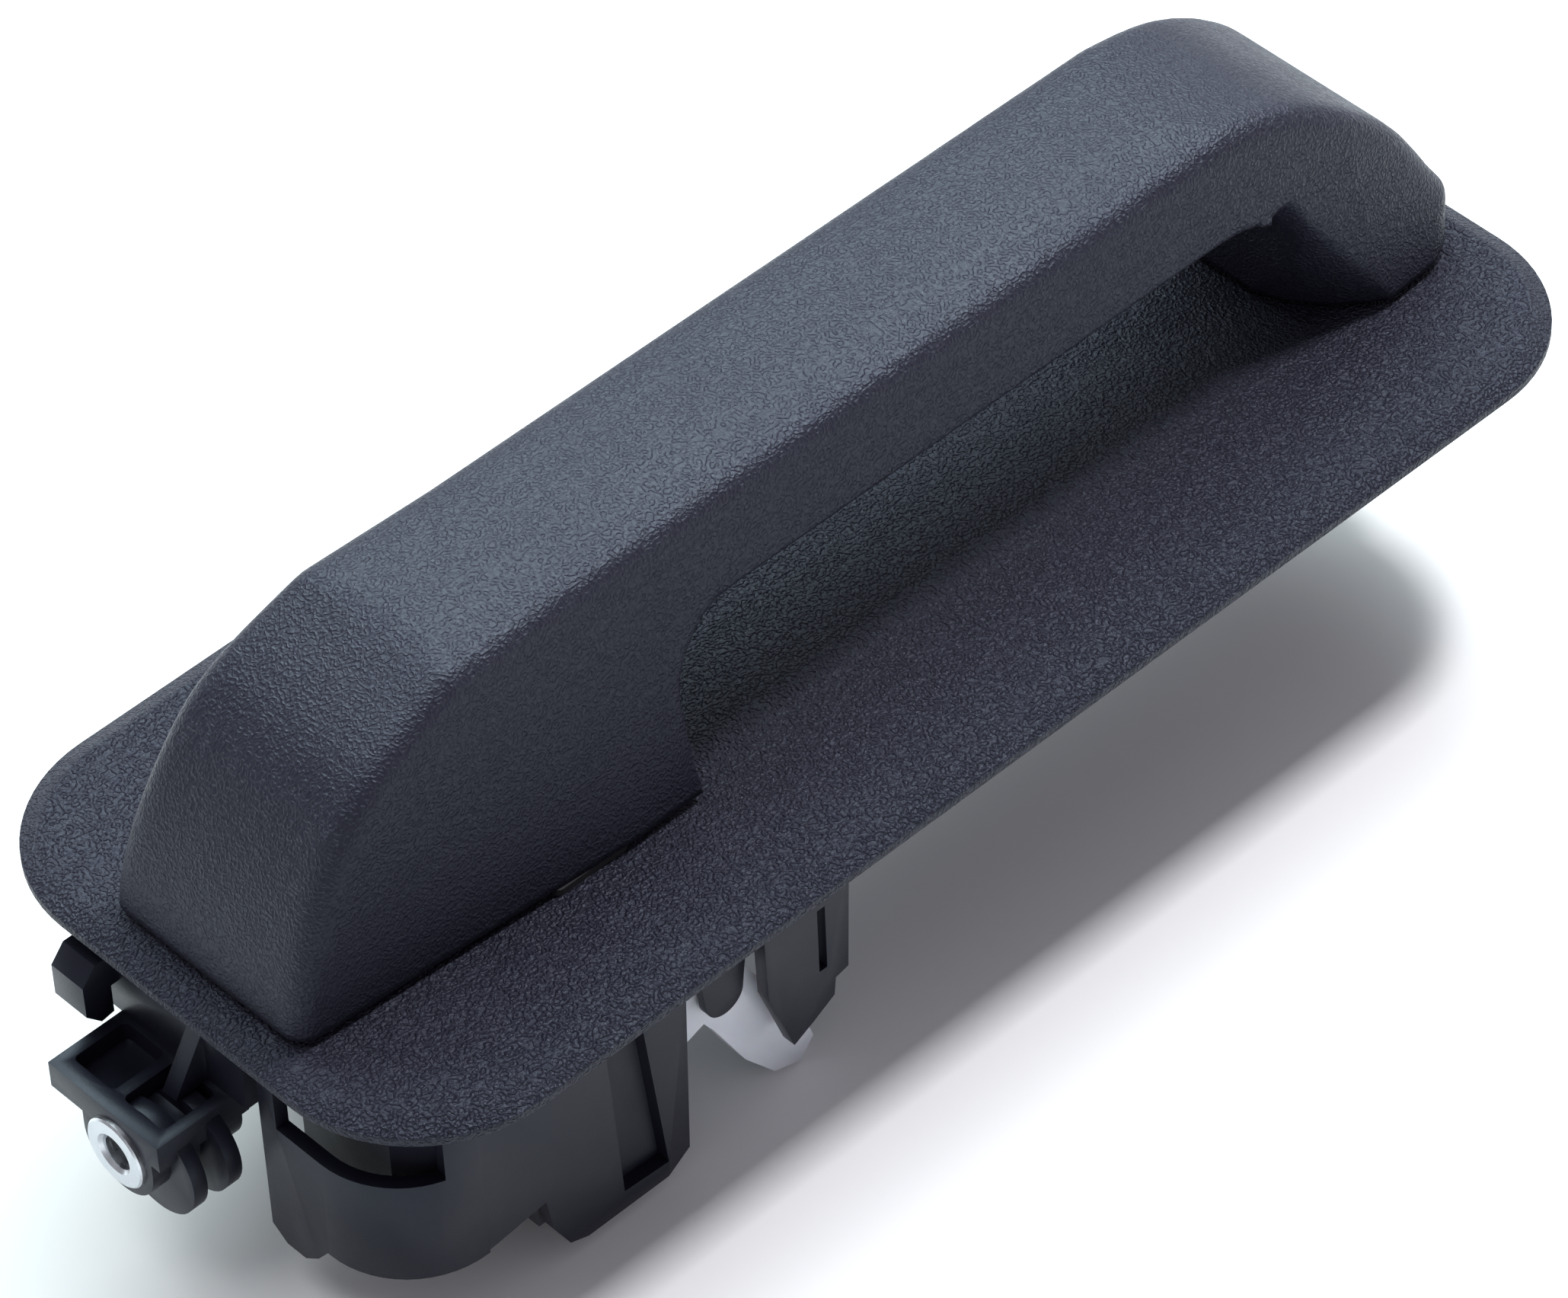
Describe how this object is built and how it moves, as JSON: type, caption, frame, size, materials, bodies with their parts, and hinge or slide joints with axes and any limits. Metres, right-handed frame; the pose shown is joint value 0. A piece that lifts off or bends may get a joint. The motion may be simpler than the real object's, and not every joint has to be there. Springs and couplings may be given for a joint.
{
  "type": "car door handle",
  "caption": "Exterior vehicle door handle: a strap-shaped pull grip on a rounded escutcheon plate, with its chassis, bell crank and threaded lug behind.",
  "frame": {"origin": "middle of the plate's underside, where it seats on the door skin", "axes": "+X along the grip towards its slim hinged end, +Z straight out of the door, Y across the plate"},
  "size_m": [0.2609, 0.1, 0.0995],
  "materials": {
    "textured_black": "fine grained black plastic",
    "chassis_black": "smooth moulded black nylon",
    "nylon_black": "glass filled black nylon",
    "white_acetal": "natural white acetal",
    "black_rubber": "soft black rubber",
    "zinc_steel": "zinc plated steel",
    "spring_steel": "drawn spring wire",
    "green_acetal": "coloured acetal clip"
  },
  "bodies": {
    "mount": {"bezel_plate": "textured_black", "bezel_gasket": "black_rubber", "plate_screws": "zinc_steel", "chassis": "chassis_black", "threaded_insert": "zinc_steel", "hinge_pin": "zinc_steel", "hinge_clip": "spring_steel", "crank_pin": "zinc_steel", "crank_clip": "spring_steel", "travel_stop": "black_rubber", "rest_pads": "black_rubber", "return_spring": "spring_steel"},
    "handle": {"grip_shell": "textured_black", "grip_inner_cover": "chassis_black", "grip_core": "nylon_black", "pull_arm": "nylon_black", "hinge_arm": "nylon_black", "hinge_bushes": "white_acetal", "arm_screws": "zinc_steel"},
    "crank": {"bell_crank": "white_acetal", "roller_pin": "zinc_steel", "counterweight": "zinc_steel"},
    "roller": {"crank_roller": "nylon_black"},
    "clip": {"rod_clip": "green_acetal"}
  },
  "joints": [
    {"name": "handle_pull", "type": "hinge", "parent": "mount", "child": "handle", "pos_m": [0.115, 0, -0.011], "axis": [0, 1, 0], "range_deg": [0, 8], "stiffness_Nm_per_rad": 12, "springref_deg": -3.44, "deforming": ["return_spring"]},
    {"name": "crank_turn", "type": "hinge", "parent": "mount", "child": "crank", "pos_m": [-0.055, -0.0335, -0.021], "axis": [0, 1, 0], "range_deg": [0, 50]},
    {"name": "roller_spin", "type": "hinge", "parent": "crank", "child": "roller", "pos_m": [-0.084, -0.0319, -0.03452], "axis": [0, 1, 0], "continuous": true},
    {"name": "clip_swivel", "type": "hinge", "parent": "crank", "child": "clip", "pos_m": [-0.0405, -0.0325, -0.045], "axis": [0, 1, 0], "range_deg": [-40, 40]}
  ],
  "couplings": [
    {"joint": "crank_turn", "follows": "handle_pull", "ratio": 6.25}
  ]
}
